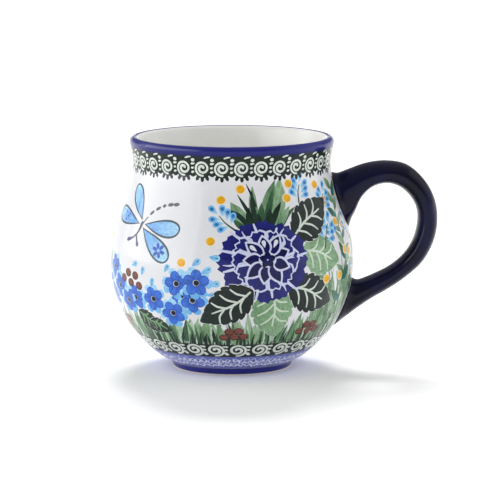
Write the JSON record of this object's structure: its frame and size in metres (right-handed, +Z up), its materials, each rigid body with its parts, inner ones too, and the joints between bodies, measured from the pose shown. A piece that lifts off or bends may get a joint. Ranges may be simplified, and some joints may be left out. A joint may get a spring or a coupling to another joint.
{
  "type": "belly mug",
  "caption": "Round-bellied stoneware drinking mug with a flared rim, a narrow foot ring and an ear-shaped handle, glazed and hand decorated with flowers.",
  "frame": {"origin": "the middle of the whole mug's outline seen from above, on the plane the foot ring stands on; the turning axis of the cup is at x = -0.0172", "axes": "+Z up along the cup's turning axis, +X from the cup towards the handle"},
  "size_m": [0.1344, 0.1, 0.095],
  "materials": {
    "painted_glaze": "clear gloss glaze over white stoneware with painted flowers",
    "cobalt_glaze": "gloss, dark cobalt",
    "slip_glaze": "gloss, dark cobalt over a bead of clay slip",
    "foot_glaze": "gloss cobalt band, bare clay where it stands"
  },
  "bodies": {
    "root": {"mug_body": "painted_glaze", "foot_ring": "foot_glaze", "handle": "cobalt_glaze", "upper_slip_joint": "slip_glaze", "lower_slip_joint": "slip_glaze"}
  },
  "joints": []
}
